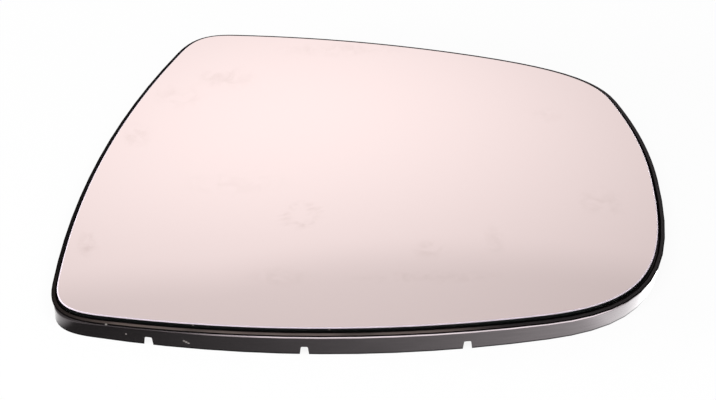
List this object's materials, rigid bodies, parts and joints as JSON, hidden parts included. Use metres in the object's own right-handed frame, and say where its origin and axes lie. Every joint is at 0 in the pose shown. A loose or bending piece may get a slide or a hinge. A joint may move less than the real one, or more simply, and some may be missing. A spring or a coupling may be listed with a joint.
{
  "type": "car door mirror glass",
  "caption": "Convex mirror glass for a car's door mirror, bonded to a moulded black backing plate with a raised lip, a skirt and a clip ring.",
  "frame": {"origin": "middle of the outline, at the height of the skirt's rear edge, on which the part lies", "axes": "+Z out of the face of the glass, +X away from the door, +Y up as the part is fitted"},
  "size_m": [0.185, 0.1341, 0.0113],
  "materials": {
    "glass": "polished",
    "foam": "matte",
    "plastic": "gloss"
  },
  "bodies": {
    "root": {"mirror_glass": "glass", "adhesive_pad": "foam", "backing_plate": "plastic"}
  },
  "joints": []
}
